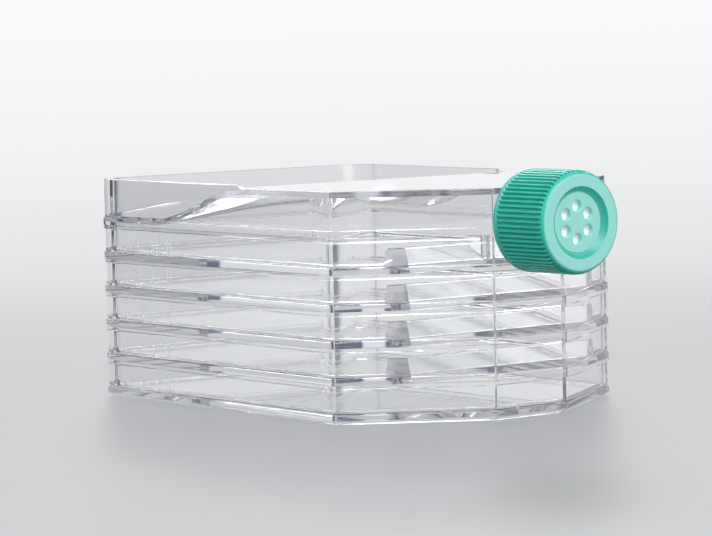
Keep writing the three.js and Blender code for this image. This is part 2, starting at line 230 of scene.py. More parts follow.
def corners(d, shoulder_in):
    """Corners of the outline moved in by d: place, radius, steps and the directions before and after."""
    base = [(XR, -HW, R_REAR, R_REAR_IN, 14), (XS, -HW, R_SHOULDER, shoulder_in, 14),
            (XF, -FRONT_W / 2, R_FRONT, R_FRONT_IN, 6), (XF, FRONT_W / 2, R_FRONT, R_FRONT_IN, 6),
            (XS, HW, R_SHOULDER, shoulder_in, 14), (XR, HW, R_REAR, R_REAR_IN, 14)]
    out = []
    for i, (x, y, r_out, r_in, seg) in enumerate(base):
        rad = r_out - d if d < SPLIT else r_in - (d - WALL_IN)
        a = (Vector((x, y)) - Vector(base[i - 1][:2])).normalized()
        b = (Vector(base[(i + 1) % 6][:2]) - Vector((x, y))).normalized()
        na, nb = Vector((-a.y, a.x)), Vector((-b.y, b.x))
        k = d / (1 + na.dot(nb))
        out.append((Vector((x, y)) + (na + nb) * k, max(rad, 0.5), seg, a, b))
    return out


def outline(d, shoulder_in=R_SHOULDER_IN):
    """Plan outline moved in by d, with rounded corners."""
    pts = []
    for c, rad, seg, a, b in corners(d, shoulder_in):
        turn = math.acos(max(-1.0, min(1.0, a.dot(b))))
        t = rad * math.tan(turn / 2)
        cx, cy = c.x - a.x * t - a.y * rad, c.y - a.y * t + a.x * rad
        start = math.atan2(-a.x, a.y)
        for i in range(seg + 1):
            w = start + turn * i / seg
            pts.append((cx + rad * math.cos(w), cy + rad * math.sin(w)))
    return pts


def around(name, profile, closed=True, shoulder_in=R_SHOULDER_IN):
    """Sweep a profile of (inset, z) round the outline; an open one is capped flat at both ends."""
    verts, n = [], len(outline(0))
    for d, z in profile:
        verts += [(x, y, z) for x, y in outline(d, shoulder_in)]
    rows = len(profile)
    faces = []
    for i in range(rows if closed else rows - 1):
        a, b = i * n, ((i + 1) % rows) * n
        faces += [(a + j, a + (j + 1) % n, b + (j + 1) % n, b + j) for j in range(n)]
    if not closed:
        faces += [tuple(range(n))[::-1], tuple(range((rows - 1) * n, rows * n))]
    return make(name, verts, faces)


def six_sided(name, v):
    """Block from its eight corners, with z changing fastest."""
    f = [(0, 1, 3, 2), (4, 6, 7, 5), (0, 4, 5, 1), (2, 3, 7, 6), (0, 2, 6, 4), (1, 5, 7, 3)]
    return make(name, v, f)


def box(x0, x1, y0, y1, z0, z1):
    return six_sided("box", [(x, y, z) for x in (x0, x1) for y in (y0, y1) for z in (z0, z1)])


def along_y(points, y0, y1):
    """Prism across the flask from a section of (x, z)."""
    n = len(points)
    v = [(x, y, z) for y in (y0, y1) for x, z in points]
    f = [(i, (i + 1) % n, n + (i + 1) % n, n + i) for i in range(n)]
    f += [tuple(range(n))[::-1], tuple(range(n, 2 * n))]
    return make("prism", v, f)


def about_neck(x, rad, a):
    """Point ahead of the front face by x, at a radius and angle about the neck's axis."""
    return XF + x, rad * math.cos(a), Z_NECK + rad * math.sin(a)


def turned(name, profile, segments=128, closed=True):
    """Turn a profile of (x ahead of the front face, radius) about the neck axis."""
    verts, rows = [], []
    for x, rad in profile:
        if rad < 1e-6:
            rows.append([len(verts)] * segments)
            verts.append((XF + x, 0, Z_NECK))
        else:
            rows.append(list(range(len(verts), len(verts) + segments)))
            verts += [about_neck(x, rad, 2 * math.pi * j / segments) for j in range(segments)]
    faces = []
    for i in range(len(rows) if closed else len(rows) - 1):
        a, b = rows[i], rows[(i + 1) % len(rows)]
        for j in range(segments):
            k = (j + 1) % segments
            ids = []
            for v in (a[j], a[k], b[k], b[j]):           # a point on the axis is there once
                if v not in ids:
                    ids.append(v)
            if len(ids) > 2:
                faces.append(ids)
    return make(name, verts, faces)


def arc(cx, cy, rad, a0, a1, n=4):
    """Points on a small rounding, angles in degrees."""
    turn = [math.radians(a0 + (a1 - a0) * i / n) for i in range(n + 1)]
    return [(cx + rad * math.cos(a), cy + rad * math.sin(a)) for a in turn]


def helix(name, r_root, r_crest, at, turns, start, sink):
    """Rounded thread ridge wound right-handed about the neck axis."""
    steps, verts, faces = int(turns * 72), [], []
    inward = r_crest < r_root
    base = r_root + sink if inward else r_root - sink
    for i in range(steps + 1):
        u = i / steps
        fade = min(1.0, 0.05 + min(u, 1 - u) * turns / THREAD_RUN_OUT)
        crest = r_root + (r_crest - r_root) * fade
        shoulder = r_root + (r_crest - r_root) * fade * THREAD_SHOULDER
        sec = [(base, -THREAD_ROOT_W / 2), (r_root, -THREAD_ROOT_W / 2),
               (shoulder, -THREAD_CREST_W / 2 - 0.1), (crest, -THREAD_CREST_W / 2 + 0.2),
               (crest, THREAD_CREST_W / 2 - 0.2), (shoulder, THREAD_CREST_W / 2 + 0.1),
               (r_root, THREAD_ROOT_W / 2), (base, THREAD_ROOT_W / 2)]
        a = start + 2 * math.pi * turns * u
        verts += [about_neck(at + THREAD_PITCH * turns * u + w, rad, a) for rad, w in sec]
    n = len(sec)
    for a in range(0, steps * n, n):
        faces += [(a + j, a + (j + 1) % n, a + n + (j + 1) % n, a + n + j) for j in range(n)]
    faces += [tuple(range(n))[::-1], tuple(range(steps * n, steps * n + n))]
    return make(name, verts, faces)


# ---------------------------------------------------------------- materials


def principled(mat):
    """Turn nodes on; gives the tree, its Principled shader and its output."""
    mat.use_nodes = True
    nt = mat.node_tree
    return nt, nt.nodes["Principled BSDF"], nt.nodes["Material Output"]


def noise(nt, scale, detail):
    """Noise fixed to the object, as a factor."""
    tc = nt.nodes.new("ShaderNodeTexCoord")
    n = nt.nodes.new("ShaderNodeTexNoise")
    n.inputs["Scale"].default_value = scale
    n.inputs["Detail"].default_value = detail
    nt.links.new(tc.outputs["Object"], n.inputs["Vector"])
    return n.outputs["Fac"]


def separate(nt, kind):
    """X, Y and Z of a texture coordinate of that kind."""
    tc = nt.nodes.new("ShaderNodeTexCoord")
    sep = nt.nodes.new("ShaderNodeSeparateXYZ")
    nt.links.new(tc.outputs[kind], sep.inputs["Vector"])
    return sep.outputs


def ramp(nt, src, lo, hi, a=0.35, b=0.65, curve="LINEAR"):
    """Carry a..b over to lo..hi; a and b start as the range most of a noise lies in."""
    m = nt.nodes.new("ShaderNodeMapRange")
    m.interpolation_type = curve
    m.inputs["From Min"].default_value = a
    m.inputs["From Max"].default_value = b
    m.inputs["To Min"].default_value = lo
    m.inputs["To Max"].default_value = hi
    nt.links.new(src, m.inputs["Value"])
    return m.outputs["Result"]


def math_node(nt, op, a, b=0.0):
    """One step of arithmetic on plain numbers or node outputs, held between 0 and 1."""
    m = nt.nodes.new("ShaderNodeMath")
    m.operation = op
    m.use_clamp = True
    for k, v in enumerate((a, b)):
        if isinstance(v, (int, float)):
            m.inputs[k].default_value = v
        else:
            nt.links.new(v, m.inputs[k])
    return m.outputs[0]


def mix_colour(nt, fac, c0, c1):
    """Mix two colours, each a plain (r, g, b) or the output of another node."""
    m = nt.nodes.new("ShaderNodeMix")
    m.data_type = "RGBA"
    for side, c in (("A", c0), ("B", c1)):
        if isinstance(c, tuple):
            m.inputs[side].default_value = (*c, 1)
        else:
            nt.links.new(c, m.inputs[side])
    nt.links.new(fac, m.inputs["Factor"])
    return m.outputs["Result"]


def mix_shaders(nt, fac, first, second, out):
    """Mix two shaders and make them the surface."""
    m = nt.nodes.new("ShaderNodeMixShader")
    nt.links.new(fac, m.inputs["Fac"])
    nt.links.new(first, m.inputs[1])
    nt.links.new(second, m.inputs[2])
    nt.links.new(m.outputs["Shader"], out.inputs["Surface"])


def bump(nt, src, bsdf, strength, distance):
    """Slight relief; the distance is in metres."""
    b = nt.nodes.new("ShaderNodeBump")
    b.inputs["Strength"].default_value = strength
    b.inputs["Distance"].default_value = distance
    nt.links.new(src, b.inputs["Height"])
    nt.links.new(b.outputs["Normal"], bsdf.inputs["Normal"])


def clear_plastic(name, rear):
    """Moulded polystyrene: clear, faint violet-grey in the thickness, with a faint painted glow in it,
    lets lamp light through.

    The moulding is a little greyer towards the back, where its colour is rear.
    """
    mat = bpy.data.materials.new(name)
    nt, bsdf, out = principled(mat)
    forward = ramp(nt, separate(nt, "Object")["X"], 0, 1, -0.04, 0.04)
    nt.links.new(mix_colour(nt, forward, rear, (0.985, 0.988, 0.992)), bsdf.inputs["Base Color"])
    bsdf.inputs["Transmission Weight"].default_value = 1.0
    bsdf.inputs["IOR"].default_value = 1.59
    nt.links.new(ramp(nt, noise(nt, 260, 4), 0.0, 0.012), bsdf.inputs["Roughness"])
    bump(nt, noise(nt, 38, 2), bsdf, 0.012, 0.0006)
    clear = nt.nodes.new("ShaderNodeBsdfTransparent")
    clear.inputs["Color"].default_value = (0.93, 0.94, 0.95, 1)
    lp = nt.nodes.new("ShaderNodeLightPath")
    mix_shaders(nt, lp.outputs["Is Shadow Ray"], bsdf.outputs["BSDF"], clear.outputs["BSDF"], out)
    vol = nt.nodes.new("ShaderNodeVolumeAbsorption")
    vol.inputs["Color"].default_value = (0.35, 0.35, 0.55, 1)
    vol.inputs["Density"].default_value = 2.0
    painted_glow_in_plastic = nt.nodes.new("ShaderNodeEmission")          # painted glow, standing in for light caught in long paths through the plastic
    painted_glow_in_plastic.inputs["Color"].default_value = (0.92, 0.93, 1.0, 1)
    painted_glow_in_plastic.inputs["Strength"].default_value = 0.26
    both = nt.nodes.new("ShaderNodeAddShader")
    nt.links.new(vol.outputs["Volume"], both.inputs[0])
    nt.links.new(painted_glow_in_plastic.outputs["Emission"], both.inputs[1])
    nt.links.new(both.outputs["Shader"], out.inputs["Volume"])
    return mat


def from_neck_axis(nt):
    """Distance of the shaded point from the neck's axis, in metres."""
    tc = nt.nodes.new("ShaderNodeTexCoord")
    across = nt.nodes.new("ShaderNodeVectorMath")
    across.operation = "MULTIPLY"
    across.inputs[1].default_value = (0, 1, 1)
    nt.links.new(tc.outputs["Object"], across.inputs[0])
    radius = nt.nodes.new("ShaderNodeVectorMath")
    radius.operation = "DISTANCE"
    radius.inputs[1].default_value = (0, 0, Z_NECK * MM)
    nt.links.new(across.outputs["Vector"], radius.inputs[0])
    return radius.outputs["Value"]


def teal_plastic():
    """Satin teal; the end face is coloured lighter as a painted sheen, and the vented disc with the walls
    of its holes as painted light in place of their shade.
    """
    mat = bpy.data.materials.new("teal_plastic")
    nt, bsdf, _ = principled(mat)
    sides = mix_colour(nt, ramp(nt, noise(nt, 120, 4), 0, 1), (0.026, 0.49, 0.39), (0.032, 0.52, 0.415))
    # painted sheen: faces turned forward, along +X, take the lighter teal
    painted_sheen_on_face = ramp(nt, separate(nt, "Normal")["X"], 0, 1, 0.80, 0.98)
    # painted light: all within the disc's radius, the walls of the vent holes too, takes it as well
    painted_light_in_disc = ramp(nt, from_neck_axis(nt), 1, 0, (DISC_R - CAP_SINK) * MM, DISC_R * MM)
    painted_lighter = math_node(nt, "MAXIMUM", painted_sheen_on_face, painted_light_in_disc)
    # the lighter teal is painted sheen and painted light, not a second colour of the plastic
    nt.links.new(mix_colour(nt, painted_lighter, sides, (0.36, 0.82, 0.755)), bsdf.inputs["Base Color"])
    fine = noise(nt, 1800, 2)
    nt.links.new(ramp(nt, fine, 0.30, 0.38), bsdf.inputs["Roughness"])
    bump(nt, fine, bsdf, 0.06, 0.00004)
    bsdf.inputs["IOR"].default_value = 1.5
    bsdf.inputs["Subsurface Weight"].default_value = 0.12
    bsdf.inputs["Subsurface Radius"].default_value = (0.3, 1.0, 0.8)
    bsdf.inputs["Subsurface Scale"].default_value = 0.001
    return mat


def matt_white(name, colour, scale, rough, strength, glow=0.0):
    """Fine-grained white; glow is painted light, for a thin film lit from behind through the clear neck.
    """
    mat = bpy.data.materials.new(name)
    nt, bsdf, _ = principled(mat)
    grain = noise(nt, scale, 5)
    dark = tuple(c * 0.95 for c in colour)
    nt.links.new(mix_colour(nt, ramp(nt, grain, 0, 1), dark, colour), bsdf.inputs["Base Color"])
    nt.links.new(ramp(nt, grain, rough - 0.05, rough + 0.05), bsdf.inputs["Roughness"])
    bump(nt, grain, bsdf, strength, 0.00003)
    if glow:
        bsdf.inputs["Emission Color"].default_value = (1, 1, 1, 1)
        bsdf.inputs["Emission Strength"].default_value = glow
    return mat


CLEAR = clear_plastic("clear_polystyrene", (0.93, 0.935, 0.942))
CLEAR_LID = clear_plastic("clear_polystyrene_lid", (0.87, 0.875, 0.885))
TEAL = teal_plastic()
SEAL = matt_white("seal_plastic", (0.80, 0.82, 0.82), 900, 0.45, 0.1)
# the membrane's last number is a painted glow: light from behind, painted into the film
MEMBRANE = matt_white("membrane_white", (0.96, 0.96, 0.955), 3000, 0.75, 0.3, 0.22)
TICK = matt_white("moulded_tick", (0.80, 0.82, 0.84), 900, 0.4, 0.1)


def finish_piece(ob, name, body, mat, slot, *nodes):
    """Name, material and shading of a piece, the body it rides on and the CAD nodes it stands for."""
    ob.name = name
    ob.data.name = name
    ob.data.materials.clear()
    ob.data.materials.append(mat)
    smooth(ob)
    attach(ob, body)
    if nodes:
        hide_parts(*nodes)


# ---------------------------------------------------------------- trays


def skirt_profile(lip_h):
    """Lip band of a tray or the lid, seam at z = 0: broken lower edge and rounded top."""
    rad = LIP_ROUND
    turn = [math.radians(a) for a in (0, 25, 50, 75, 90)]
    lip = [(rad - rad * math.cos(a), lip_h - rad + rad * math.sin(a)) for a in turn]
    return [(SKIRT_BREAK, G), (0.0, SKIRT_BREAK + G)] + lip


def wall_profile(lip_h, top):
    """Outer wall from the lip upwards, the tongue on top of it, and over to the inner wall."""
    tip = top + TONGUE_H
    wall = [(LIP, lip_h), (LIP, lip_h + WALL_ROUND), (LIP, top - SKIRT_BREAK),
            (LIP + BREAK, top - BREAK / 2), (LIP + WALL_ROUND, top)]
    tongue = [(TONGUE_OUT, top), (TONGUE_OUT, tip - TIP_BREAK), (TONGUE_OUT + BREAK, tip - G),
              (WALL_IN - BREAK, tip - G), (WALL_IN, tip - TIP_BREAK)]
    return wall + tongue


def lap_profile():
    """Rebate in the underside that the tongue of the tray below stands in."""
    return [(WALL_IN, TONGUE_H + BREAK), (WALL_IN - BREAK, TONGUE_H), (SKIRT_IN, TONGUE_H),
            (SKIRT_IN, TIP_BREAK), (SKIRT_IN - BREAK, G)]


def shoulder_pad(side, t, width, proud, face_inset, z0, z1):
    """Small raised block on one of the two slanted front faces, a share t of the way along it."""
    a, b = Vector((XS, side * HW)), Vector((XF, side * FRONT_W / 2))
    d = (b - a).normalized()
    out = Vector((-d.y * side, d.x * side))
    c = a.lerp(b, t)
    v = []
    for s in (-width / 2, width / 2):
        for o in (-face_inset - BITE, -face_inset + proud):
            for z in (z0, z1):
                q = c + d * s + out * o
                v.append((q.x, q.y, z))
    return six_sided("pad", v)


def fillet(z, front):
    """Rounded inner corner between the wall and the floor whose top is at z, as far forward as front."""
    prof = [(WALL_IN - BITE, z - BITE), (WALL_IN - BITE, z + FILLET)]
    prof += arc(WALL_IN + FILLET, z + FILLET, FILLET, 180, 270, 5)
    prof += [(WALL_IN + FILLET, z - BITE)]
    ring = around("fillet", prof[::-1])
    return boolean(ring, [box(XR, front, -HW, HW, z - FILLET, z + 2 * FILLET)], "INTERSECT")


def tray(name):
    """Lip, walls and tongue, with a floor that ends in a weir at the neck end."""
    body = around(name, skirt_profile(LIP_H) + wall_profile(LIP_H, PITCH) + lap_profile())
    rear, floor_top = XF - (BODY_L - 1.2), TONGUE_H + FLOOR_T    # ends inside the rear wall
    base_front, base_rear = XF - WEIR_BASE_FRONT, XF - WEIR_BASE_REAR
    section = [(rear, TONGUE_H), (base_front - WALL_ROUND, TONGUE_H), (base_front, TONGUE_H + WALL_ROUND)]
    section += arc(XF - (WEIR_TOP_FRONT + 0.55), WEIR_H - WEIR_ROUND, WEIR_ROUND, 10, 90, 4)
    section += arc(XF - (WEIR_TOP_REAR - WEIR_ROUND), WEIR_H - WEIR_ROUND, WEIR_ROUND, 90, 174, 4)
    section += [(base_rear, floor_top + WEIR_ROUND)]
    section += arc(XF - (WEIR_BASE_REAR + WEIR_ROUND), floor_top + WEIR_ROUND, WEIR_ROUND, -10, -90, 4)
    section += [(rear, floor_top)]
    within = around("within", [(LIP + FLOOR_EDGE, BITE), (LIP + FLOOR_EDGE, PITCH)], closed=False)
    floor = boolean(along_y(section, -HW, HW), [within], "INTERSECT")
    marks = [shoulder_pad(s, MARK_AT, MARK_W, MARK_PROUD, LIP, LIP_H + 0.3, PITCH - 0.4) for s in SIDES]
    round_in = fillet(floor_top, XF - (WEIR_BASE_REAR - 0.3))
    return boolean(body, [floor, round_in, *marks], "UNION")


def foot():
    """Stacking foot: a ring that stands further in where it drops inside the rim of the flask below."""
    parts = []
    for s in SIDES:
        jog = XF - RIM_END[s] + FOOT_JOG
        half = sorted((0, s * HW))
        for d, x0, x1 in ((FOOT_IN_FRONT, jog, XF + OVER), (FOOT_IN_REAR, XR - OVER, jog + FOOT_W)):
            prof = [(d, FOOT_H + BITE), (d, FOOT_BREAK), (d + FOOT_BREAK, 0), (d + FOOT_W - FOOT_BREAK, 0),
                    (d + FOOT_W, FOOT_BREAK), (d + FOOT_W, FOOT_H + BITE)]
            stretch = around("foot", prof)
            parts.append(boolean(stretch, [box(x0, x1, *half, -OVER, 3 * OVER)], "INTERSECT"))
        y = sorted((s * (HW - FOOT_IN_FRONT - 0.2), s * (HW - FOOT_IN_REAR - FOOT_W + 0.2)))
        parts.append(box(jog, jog + FOOT_W, *y, 0.02, FOOT_H + BITE))
    return boolean(parts[0], parts[1:], "UNION")


def base_tray():
    """Thick flange that is also the lowest floor, its walls and the foot."""
    z = FOOT_H
    top = z + BASE_T
    flange = around("base", [(0.5, z), (0.15, z + BREAK), (0.0, z + 0.45), (0.0, top - 0.3),
                             (0.1, top - 0.08), (0.3, top)], closed=False)
    foot_of_wall = [(WALL_IN, top + 0.4), (WALL_IN + BITE, top - 0.1), (WALL_IN + BITE, top - BITE)]
    wall = around("wall", [(LIP, top - BITE)] + wall_profile(top, seam(1))[1:] + foot_of_wall)
    return boolean(flange, [wall, fillet(top, XF), foot()], "UNION")


base = base_tray()
finish_piece(base, "base_tray_clear", "flask", CLEAR, "clear_polystyrene", "base_tray")
for k in range(1, LEVELS + 1):
    t = tray(f"tray_{k}_clear")
    if k == LEVELS:
        z_cut = Z_LID - PLATE_DROP - seam(LEVELS)
        room = box(XF - PLATE_WRAP - SIDE_GAP, XF + 2 * OVER, -HW, HW, z_cut - G, PITCH + 5 * OVER)
        boolean(t, [room], "DIFFERENCE")
    t.data.transform(Matrix.Translation((0, 0, seam(k) * MM)))
    finish_piece(t, f"tray_{k}_clear", "flask", CLEAR, "clear_polystyrene", f"tray_{k}")

# ---------------------------------------------------------------- lid with its neck


def roof(x, y):
    """Height of the lid's top sheet: crowned plate behind, S-shaped ramp, flat roof in front."""
    s = max(0.0, min(1.0, (x - (XF - RAMP_REAR)) / (RAMP_REAR - RAMP_FRONT)))
    s = s * s * (3 - 2 * s)
    c = max(0.0, 1 - (y / CROWN_HALF) ** 2) ** 1.4
    low = Z_LID + PLATE_UP + CROWN * c
    return low + (Z_ROOF - low) * s


def roof_solid(x0, x1, dz, flat, nx, ny):
    """Everything between the top sheet moved by dz and the level flat, on a grid of nx by ny."""
    verts, faces = [], []

    def idx(i, j, k):
        return (i * (ny + 1) + j) * 2 + k

    for i in range(nx + 1):
        for j in range(ny + 1):
            x, y = x0 + (x1 - x0) * i / nx, -HW - 2 * OVER + (BODY_W + 4 * OVER) * j / ny
            verts += [(x, y, roof(x, y) + dz), (x, y, flat)]
    for i in range(nx):
        for j in range(ny):
            for k in (0, 1):
                faces.append((idx(i, j, k), idx(i + 1, j, k), idx(i + 1, j + 1, k), idx(i, j + 1, k)))
    for i in range(nx):
        for j in (0, ny):
            faces.append((idx(i, j, 0), idx(i + 1, j, 0), idx(i + 1, j, 1), idx(i, j, 1)))
    for j in range(ny):
        for i in (0, nx):
            faces.append((idx(i, j, 0), idx(i, j + 1, 0), idx(i, j + 1, 1), idx(i, j, 1)))
    return make("roof", verts, faces)


def lid_block(top):
    """Solid of the lid's outline from the lap joint up to top."""
    return around("block", [(LIP, Z_LID + TONGUE_H), (LIP, top - 0.4), (LIP + BREAK, top - BREAK),
                            (LIP + 0.4, top)], closed=False)


def lid_shell():
    """Walls, rim and top sheet, hollow above the plate behind the ramp and below the sheet."""
    body = lid_block(Z_ROOF)
    rear = XR - OVER
    for s in SIDES:
        end = XF - RIM_END[s]
        section = [(rear, 0), (end, 0), (end, Z_ROOF - 0.3), (end - RIM_SLOPE, Z_RIM + OVER),
                   (rear, Z_RIM + OVER)]
        side = along_y(section, *sorted((0, s * (HW + OVER))))
        boolean(body, [boolean(lid_block(Z_RIM), [side], "INTERSECT")], "UNION")
    hollows = [roof_solid(XR - 2 * OVER, XF - min(RIM_END.values()) + 0.01, 0, Z_RIM + SINK / 2, 60, 40),
               roof_solid(XR - 2 * OVER, XF + 2 * OVER, -SHEET_T, Z_LID - SINK / 2, 110, 40)]
    between_walls = [(WALL_IN, Z_LID - SINK), (WALL_IN, Z_RIM + SINK)]
    for h in hollows:
        boolean(h, [around("inner", between_walls, False, LID_SHOULDER_IN)], "INTERSECT")
    return boolean(body, hollows, "DIFFERENCE")


def neck_solids():
    """Neck tube with a rounded mouth, and its thread."""
    mouth = NECK_LEN - NECK_ROUND
    edge = arc(mouth, NECK_R - NECK_ROUND, NECK_ROUND, 90, 0, 4)
    edge += arc(mouth, NECK_BORE + NECK_ROUND, NECK_ROUND, 0, -90, 4)
    root = -LIP - BITE
    tube = turned("tube", [(root, NECK_R), (mouth, NECK_R)] + edge + [(root, NECK_BORE)])
    return [tube, helix("thread", NECK_R, THREAD_CREST, NECK_THREAD_AT, NECK_TURNS, 0.0, BITE)]


def lid():
    """Shell with its lip, the plate that hangs over the front face, and the neck."""
    lap = Z_LID + TONGUE_H
    front = (XF - PLATE_WRAP, XF + 2 * OVER, -HW, HW, Z_LID - SINK)
    body = lid_shell()
    prof = skirt_profile(LID_LIP_H) + [(LIP + 0.2, LID_LIP_H), (WALL_IN, LID_LIP_H)] + lap_profile()
    tab_z = [Z_LID + z for z in TAB_UP]
    pads = [shoulder_pad(s, TAB_AT, TAB_W, TAB_PROUD, 0, *tab_z) for s in SIDES]
    lip = boolean(around("lip", [(d, z + Z_LID) for d, z in prof]), pads, "UNION")
    boolean(lip, [box(*front, Z_LID + LID_LIP_H + OVER)], "DIFFERENCE")
    low, high = Z_LID - PLATE_DROP + G, lap + 0.4
    plate = around("plate", [(LIP, low), (LIP, high), (WALL_IN, high), (WALL_IN, low)])
    boolean(plate, [box(*front, lap + OVER)], "INTERSECT")
    boolean(body, [lip, plate, *neck_solids()], "UNION")
    bore = turned("bore", [(-6, 0), (-6, NECK_BORE), (1, NECK_BORE), (1, 0)], closed=False)
    return boolean(body, [bore], "DIFFERENCE")


finish_piece(lid(), "lid_clear", "flask", CLEAR_LID, "clear_polystyrene", "lid", "neck")

# ---------------------------------------------------------------- moulded volume ticks on the near side


def ticks(k):
    """Plain marks on the wall of tray k; the base counts as tray 0."""
    wall_foot = seam(k) + LIP_H if k else FOOT_H + BASE_T
    y, z = (-HW + LIP - TICK_PROUD, -HW + LIP - G), (wall_foot + 0.4, seam(k + 1) - 0.6)
    parts = [box(XR + q - TICK_W / 2, XR + q + TICK_W / 2, *y, *z) for q in TICKS]
    return boolean(parts[0], parts[1:], "UNION")


for k in range(LEVELS + 1):
    finish_piece(ticks(k), f"ticks_{k}", "flask", TICK, "clear_polystyrene")

# ---------------------------------------------------------------- cap


def cap_rows():
    """Rows of (x, radius on a rib, radius between ribs) from the skirt over the ribs to the vent disc."""
    skirt, crest, core = CAP_SKIRT_R, CAP_RIB_R, CAP_CORE_R
    rows = [(CAP_REAR + a, rad, rad) for a, rad in (
        (0, CAP_BORE + CAP_BREAK), (0, skirt - 0.5), (0.12, skirt - 0.15), (0.4, skirt), (1.2, skirt),
        (1.45, skirt - 0.06), (1.62, skirt - 0.25))]
    # x, then what comes off the radius on a rib and between ribs
    rib_rear = ((3.05, 0.3, 0.05), (3.25, 0.12, 0.2), (3.6, 0.02, 0.25))
    rib_middle = tuple((x, 0, 0.25) for x in (6, 10, 14, 17, 20.5))
    rib_front = ((22.0, 0, 0.28), (24.2, 0.02, 0.28), (24.8, 0.1, 0.22), (25.2, 0.3, 0.1),
                 (25.45, 0.62, -0.1))
    rows += [(x, crest - a, core - b) for x, a, b in rib_rear + rib_middle + rib_front]
    rows += [(25.6, core + 0.25, core + 0.25)]
    # how far behind the cap's outer face, then the radius
    end_ring = ((1.1, 17.32), (0.8, 17.22), (0.5, 16.98), (0.25, 16.66), (0.08, 16.3), (0, 15.9))
    recess = ((0, 12.4), (0.08, 12.3), (2.12, 10.72), (2.2, 10.6), (2.2, 10.45), (2.08, 10.36),
              (2.0, 10.3), (1.98, 10.2), (1.98, DISC_R))
    return rows + [(CAP_OUT - b, rad, rad) for b, rad in end_ring + recess]


def cap_shell():
    """Ribbed sleeve as a fine grid, each rib a rounded rise and fall."""
    n = RIBS * RIB_STEPS
    rows = cap_rows()
    verts, faces = [], []
    for x, crest, groove in rows:
        for j in range(n):
            off = abs((j % RIB_STEPS) / RIB_STEPS - 0.5) * 2          # 0 at the crest, 1 in the groove
            w = 0.5 + 0.5 * math.cos(math.pi * min(1.0, max(0.0, (off - 0.30) / 0.55)))
            verts.append(about_neck(x, groove + (crest - groove) * w, 2 * math.pi * j / n))
    for i in range(len(rows) - 1):
        for j in range(n):
            k = (j + 1) % n
            faces.append((i * n + j, i * n + k, (i + 1) * n + k, (i + 1) * n + j))
    return verts, faces, n, len(rows)


def vented_disc():
    """Disc in the cap's recess: a ring of vent holes, eased at the mouth, round a shallow dimple."""
    rad = DISC_R + CAP_SINK
    plate = [(DISC_FACE, 0), (DISC_FACE, rad), (DISC_REAR, rad), (DISC_REAR, 0)]
    disc = turned("disc", plate, 192, closed=False)
    ease = [(-0.35, 0), (-0.15, 0.05), (-0.02, 0.22), (0.3, 0.9)]
    mouth = [(DISC_FACE + x, VENT_R + r) for x, r in ease] + [(DISC_FACE + 0.3, 0)]
    cuts = []
    for i in range(VENTS):
        a = math.pi / 2 + i * 2 * math.pi / VENTS
        v = turned("vent", [(DISC_REAR - OVER, 0), (DISC_REAR - OVER, VENT_R)] + mouth, 48, closed=False)
        y, z = VENT_CIRCLE * math.cos(a) * MM, VENT_CIRCLE * math.sin(a) * MM
        v.data.transform(Matrix.Translation((0, y, z)))
        cuts.append(v)
    hollow = [(-BREAK, 0), (-0.1, 0.25), (-0.03, 0.5), (0.2, 0.7), (0.2, 0)]
    dimple = turned("dimple", [(DISC_FACE + x, r) for x, r in hollow], 32, closed=False)
    return boolean(disc, [*cuts, dimple], "DIFFERENCE")


def cap():
    """Sleeve closed on its bore, with the vented disc, the bead behind the seal ring and the thread."""
    verts, faces, n, rows = cap_shell()
    inner = [(DISC_REAR, DISC_R), (DISC_REAR, CAP_BORE - CAP_BREAK), (DISC_REAR - CAP_BREAK, CAP_BORE),
             (CAP_REAR + CAP_BREAK, CAP_BORE), (CAP_REAR, CAP_BORE + CAP_BREAK)]
    first = len(verts)
    for x, rad in inner:
        verts += [about_neck(x, rad, 2 * math.pi * j / n) for j in range(n)]
    ring = [(rows - 1) * n] + [first + i * n for i in range(len(inner))] + [0]
    for a, b in zip(ring, ring[1:]):
        faces += [(a + j, a + (j + 1) % n, b + (j + 1) % n, b + j) for j in range(n)]
    shell = make("shell", verts, faces)
    foot_r = CAP_BORE + CAP_SINK
    bead = turned("bead", [(NECK_LEN - BEAD_T, foot_r), (NECK_LEN, foot_r), (NECK_LEN, BEAD_R + 0.1),
                           (NECK_LEN - 0.1, BEAD_R), (NECK_LEN - 0.3, BEAD_R)])
    start = math.pi / 2
    at = NECK_THREAD_AT - THREAD_PITCH / 2 + THREAD_PITCH * start / (2 * math.pi)
    inner_thread = helix("inner", CAP_BORE, CAP_THREAD_CREST, at, CAP_TURNS, start, CAP_SINK)
    return boolean(shell, [vented_disc(), bead, inner_thread], "UNION")


finish_piece(cap(), "cap_vented", "cap", TEAL, "teal_plastic", "cap")


def coin(x, rad, thick, b, bore):
    """Profile of a disc or ring with its outer edges broken by b."""
    end = x + thick
    return [(x, bore), (x, rad - b), (x + b, rad), (end - b, rad), (end, rad - b), (end, bore)]


ring_at = NECK_LEN + FIT
ring = turned("seal", coin(ring_at, RING_R, RING_T, RING_BREAK, RING_BORE))
finish_piece(ring, "seal_ring_white", "vent_insert", SEAL, "seal_plastic", "seal_ring")
film = coin(ring_at + RING_T, MEMBRANE_R, MEMBRANE_T, MEMBRANE_BREAK, 0)
disc = turned("membrane", film, closed=False)
finish_piece(disc, "vent_membrane_white", "vent_insert", MEMBRANE, "membrane_white", "vent_membrane")

